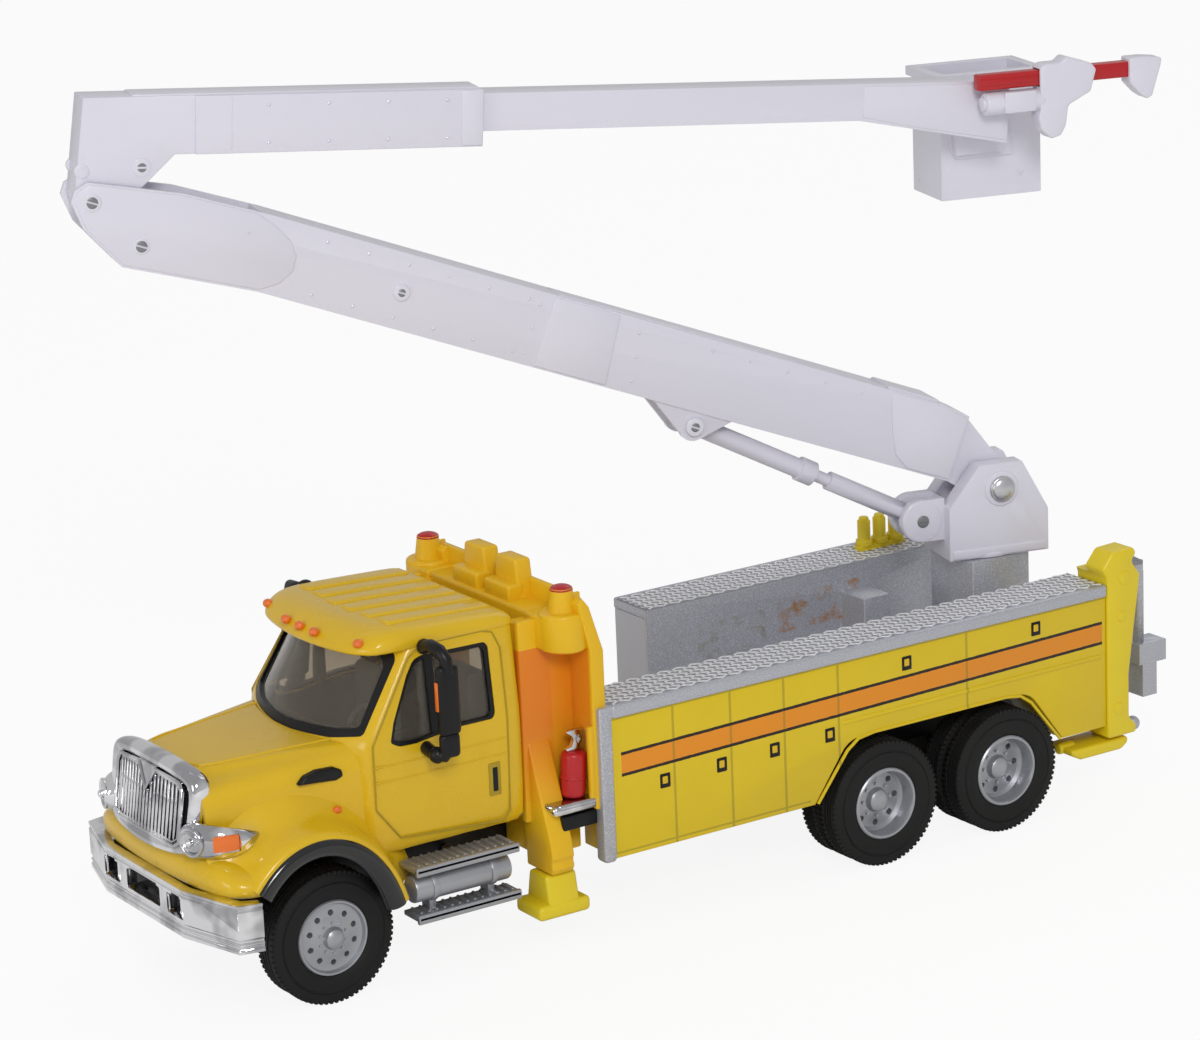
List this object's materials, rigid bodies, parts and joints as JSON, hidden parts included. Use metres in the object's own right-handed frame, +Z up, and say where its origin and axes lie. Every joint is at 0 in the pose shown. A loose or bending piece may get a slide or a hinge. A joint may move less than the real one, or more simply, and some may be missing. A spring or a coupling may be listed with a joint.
{
  "type": "utility truck with bucket lift",
  "caption": "Small-scale model of a conventional-cab utility truck with a folding, telescoping bucket boom on a slewing turret.",
  "frame": {"origin": "on the ground under the centre of the front axle", "axes": "+X towards the front bumper, +Y to the truck's left, +Z up"},
  "size_m": [0.1093, 0.0395, 0.076],
  "materials": {
    "yellow_paint": "gloss",
    "yellow_plastic": "gloss",
    "lemon_plastic": "gloss",
    "white_plastic": "gloss",
    "silver_paint": "satin",
    "bright_metal": "gloss",
    "black_plastic": "satin",
    "black_tyre": "matte",
    "steel": "satin",
    "red_plastic": "gloss",
    "clear_plastic": "gloss",
    "grey_plastic": "satin"
  },
  "bodies": {
    "chassis": {"chassis_frame": "black_plastic", "cab_shell": "yellow_paint", "glazing": "clear_plastic", "cab_interior": "grey_plastic", "hood": "yellow_paint", "grille": "bright_metal", "bumper": "bright_metal", "mirror_left": "black_plastic", "mirror_right": "black_plastic", "step_tank_left": "silver_paint", "step_tank_right": "silver_paint", "rack": "yellow_plastic", "extinguisher": "red_plastic", "cabinet_left": "yellow_paint", "cabinet_right": "yellow_paint", "bed": "silver_paint", "deck_posts": "lemon_plastic", "rear_outrigger_left": "lemon_plastic", "rear_outrigger_right": "lemon_plastic", "rear_frame": "silver_paint"},
    "front_axle": {"front_wheelset": "silver_paint", "front_tyre_left": "black_tyre", "front_tyre_right": "black_tyre"},
    "rear_axle_1": {"rear_1_wheelset": "silver_paint", "rear_1_tyre_left": "black_tyre", "rear_1_tyre_right": "black_tyre"},
    "rear_axle_2": {"rear_2_wheelset": "silver_paint", "rear_2_tyre_left": "black_tyre", "rear_2_tyre_right": "black_tyre"},
    "turret": {"turret": "white_plastic", "main_pin": "steel"},
    "lower_boom": {"lower_boom": "white_plastic"},
    "upper_boom": {"upper_boom": "white_plastic"},
    "inner_boom": {"inner_boom": "white_plastic"},
    "bucket": {"bucket": "white_plastic"},
    "jib": {"jib_head": "white_plastic", "jib_bar": "red_plastic", "jib_tip": "white_plastic"},
    "lift_barrel": {"lift_barrel": "white_plastic"},
    "lift_rod": {"lift_rod": "white_plastic"},
    "front_foot_left": {"front_foot_left": "lemon_plastic"},
    "front_foot_right": {"front_foot_right": "lemon_plastic"},
    "rear_foot_left": {"rear_foot_left": "lemon_plastic"},
    "rear_foot_right": {"rear_foot_right": "lemon_plastic"}
  },
  "joints": [
    {"name": "front_axle_spin", "type": "hinge", "parent": "chassis", "child": "front_axle", "pos_m": [0, 0, 0.00605], "axis": [0, 1, 0], "continuous": true},
    {"name": "rear_axle_1_spin", "type": "hinge", "parent": "chassis", "child": "rear_axle_1", "pos_m": [-0.0574, 0, 0.00605], "axis": [0, 1, 0], "continuous": true},
    {"name": "rear_axle_2_spin", "type": "hinge", "parent": "chassis", "child": "rear_axle_2", "pos_m": [-0.0718, 0, 0.00605], "axis": [0, 1, 0], "continuous": true},
    {"name": "turret_slew", "type": "hinge", "parent": "chassis", "child": "turret", "pos_m": [-0.08, 0, 0.0235], "axis": [0, 0, 1], "continuous": true},
    {"name": "lower_boom_lift", "type": "hinge", "parent": "turret", "child": "lower_boom", "pos_m": [-0.08097, 0.00026, 0.0302], "axis": [-0.2588, -0.9659, 0], "range_deg": [-14, 50]},
    {"name": "upper_boom_fold", "type": "hinge", "parent": "lower_boom", "child": "upper_boom", "pos_m": [0.0024, -0.02208, 0.06679], "axis": [0.2588, 0.9659, 0], "range_deg": [-15, 150]},
    {"name": "inner_boom_slide", "type": "slide", "parent": "upper_boom", "child": "inner_boom", "axis": [-0.9637, 0.2582, -0.068], "range_m": [-0.0195, 0]},
    {"name": "bucket_tilt", "type": "hinge", "parent": "inner_boom", "child": "bucket", "pos_m": [-0.08165, -0.00266, 0.0654], "axis": [-0.2588, -0.9659, 0], "range_deg": [-10, 105]},
    {"name": "jib_tilt", "type": "hinge", "parent": "inner_boom", "child": "jib", "pos_m": [-0.08067, 0.00329, 0.0678], "axis": [0.2588, 0.9659, 0], "range_deg": [0, 60]},
    {"name": "lift_barrel_swing", "type": "hinge", "parent": "lower_boom", "child": "lift_barrel", "pos_m": [-0.05102, -0.00777, 0.03987], "axis": [-0.2588, -0.9659, 0], "range_deg": [-3, 6]},
    {"name": "lift_rod_slide", "type": "slide", "parent": "lift_barrel", "child": "lift_rod", "axis": [-0.8532, 0.2286, -0.4687], "range_m": [-0.002, 0.0066]},
    {"name": "front_foot_left_slide", "type": "slide", "parent": "chassis", "child": "front_foot_left", "axis": [0, 0, -1], "range_m": [0, 0.0033]},
    {"name": "front_foot_right_slide", "type": "slide", "parent": "chassis", "child": "front_foot_right", "axis": [0, 0, -1], "range_m": [0, 0.0033]},
    {"name": "rear_foot_left_slide", "type": "slide", "parent": "chassis", "child": "rear_foot_left", "axis": [0, 0, -1], "range_m": [0, 0.004]},
    {"name": "rear_foot_right_slide", "type": "slide", "parent": "chassis", "child": "rear_foot_right", "axis": [0, 0, -1], "range_m": [0, 0.004]}
  ],
  "couplings": [
    {"joint": "lift_barrel_swing", "follows": "lower_boom_lift", "ratio": 0.1},
    {"joint": "lift_rod_slide", "follows": "lower_boom_lift", "m_per_rad": 0.00716}
  ]
}
